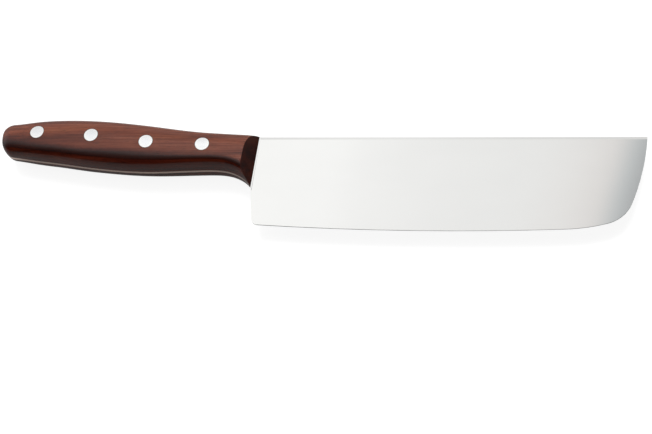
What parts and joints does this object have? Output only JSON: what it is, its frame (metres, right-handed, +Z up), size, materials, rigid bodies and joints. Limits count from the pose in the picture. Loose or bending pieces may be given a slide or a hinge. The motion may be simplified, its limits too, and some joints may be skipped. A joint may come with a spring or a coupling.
{
  "type": "nakiri knife",
  "caption": "Kitchen knife with a tall straight-edged steel blade, full tang and two riveted dark wood scales.",
  "frame": {"origin": "under the middle of the knife lying on its left side, on the surface it lies on", "axes": "+X to the tip, +Y to the spine, +Z up through the thickness to the knife's right side"},
  "size_m": [0.3052, 0.0551, 0.0186],
  "materials": {
    "blade_steel": "fine polished",
    "handle_wood": "satin oiled",
    "rivet_metal": "satin, ground flush"
  },
  "bodies": {
    "root": {"blade": "blade_steel", "right_scale": "handle_wood", "left_scale": "handle_wood", "rivet_socket_1": "rivet_metal", "rivet_socket_2": "rivet_metal", "rivet_socket_3": "rivet_metal", "rivet_socket_4": "rivet_metal", "rivet_pin_1": "rivet_metal", "rivet_pin_2": "rivet_metal", "rivet_pin_3": "rivet_metal", "rivet_pin_4": "rivet_metal"}
  },
  "joints": []
}
